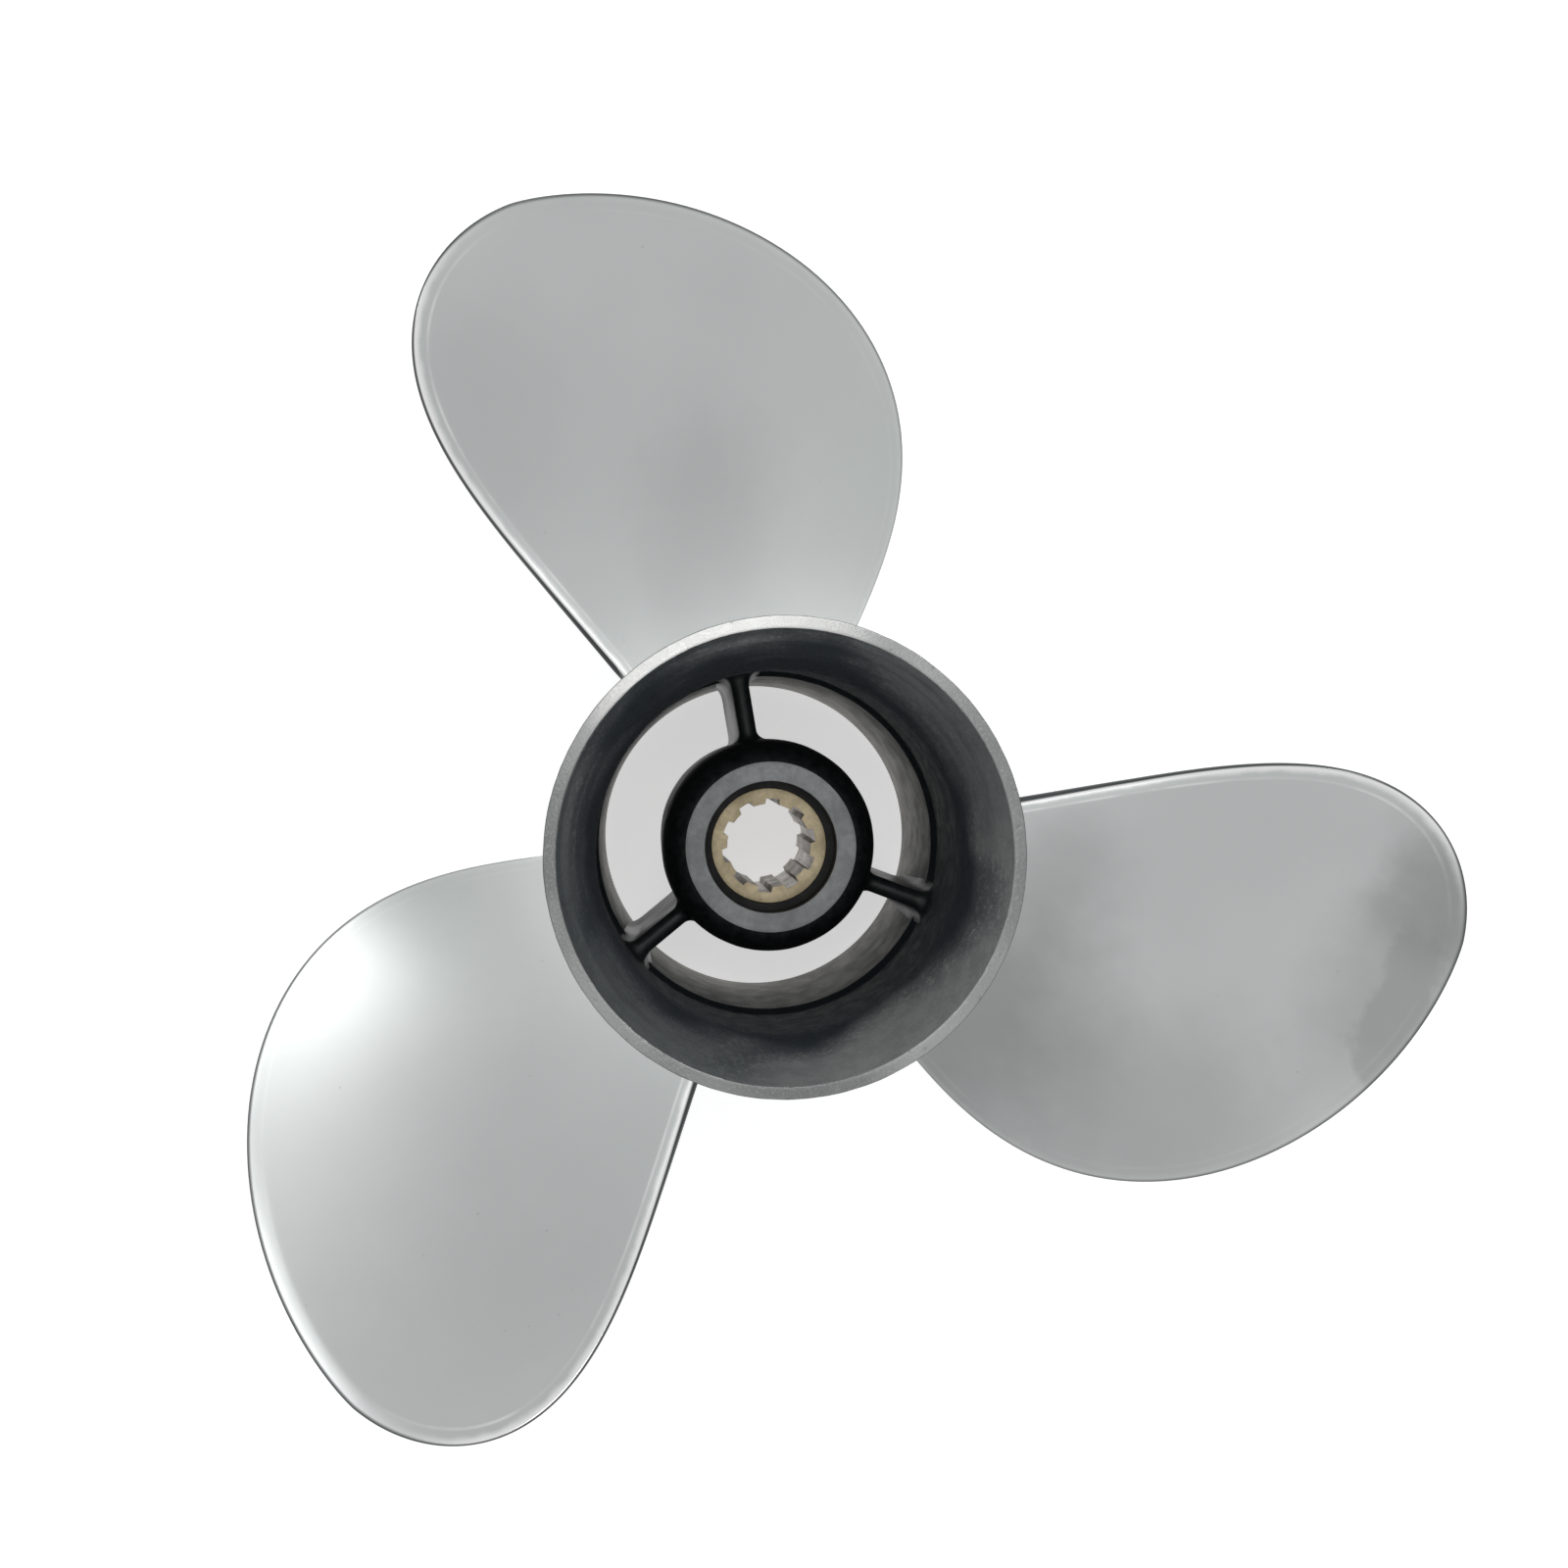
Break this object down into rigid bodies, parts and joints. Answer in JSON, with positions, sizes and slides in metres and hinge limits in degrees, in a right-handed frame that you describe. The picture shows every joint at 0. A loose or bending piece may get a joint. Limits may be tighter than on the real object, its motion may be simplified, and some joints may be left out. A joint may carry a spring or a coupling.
{
  "type": "boat propeller",
  "caption": "Right-hand outboard propeller with swept blades, flared through-hub exhaust barrel, ribbed inner hub, rubber bush and splined shaft insert.",
  "frame": {"origin": "on the shaft axis in the plane of the hub's forward end, which is the plane the propeller stands on", "axes": "+Z runs aft along the shaft axis, towards the flared ring; +X is the reference line of blade_1"},
  "size_m": [0.1985, 0.2128, 0.09],
  "materials": {
    "satin_steel": "satin cast stainless steel",
    "black_paint": "satin black paint",
    "bush_rubber": "matte",
    "insert_bronze": "matte sandy bronze"
  },
  "bodies": {
    "casting": {"barrel": "satin_steel", "flare_ring": "satin_steel", "blade_1": "satin_steel", "blade_2": "satin_steel", "blade_3": "satin_steel", "rib_1": "black_paint", "rib_2": "black_paint", "rib_3": "black_paint", "inner_hub": "black_paint"},
    "drive_core": {"rubber_bush": "bush_rubber", "splined_insert": "insert_bronze"}
  },
  "joints": [
    {"name": "bush_slip", "type": "hinge", "parent": "casting", "child": "drive_core", "pos_m": [0, 0, 0.025], "axis": [0, 0, 1], "continuous": true}
  ]
}
